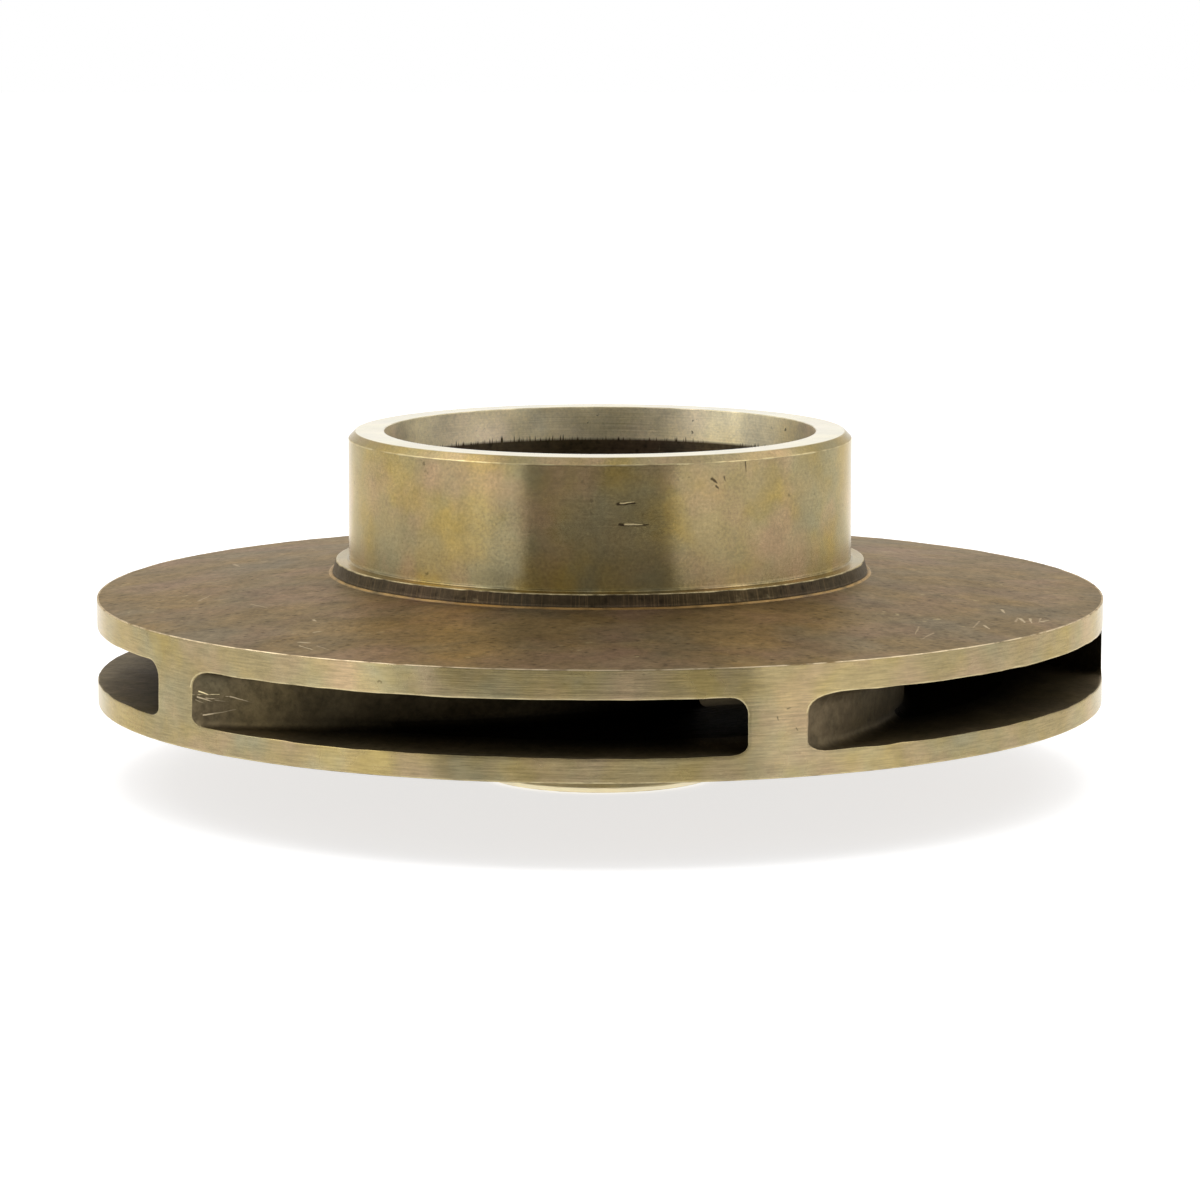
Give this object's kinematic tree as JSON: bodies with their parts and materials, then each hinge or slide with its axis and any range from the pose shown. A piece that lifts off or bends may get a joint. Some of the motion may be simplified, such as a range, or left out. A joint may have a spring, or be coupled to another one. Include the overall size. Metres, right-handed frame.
{
  "type": "pump impeller",
  "caption": "Closed centrifugal pump impeller cast in bronze, with curved vanes between two shrouds, a turned eye ring and a keyed hub.",
  "frame": {"origin": "on the shaft axis, in the hub's back face, which the part stands on", "axes": "+Z along the shaft axis from the hub's back face towards the suction eye; +X through the keyway; the vanes sweep back for a turn that is counter-clockwise seen from the eye"},
  "size_m": [0.1778, 0.1778, 0.0614],
  "materials": {
    "cast_bronze": "as-cast bronze, turned bright on the rim, eye ring and hub, with a dull brown tarnish"
  },
  "bodies": {
    "root": {"impeller": "cast_bronze"}
  },
  "joints": []
}
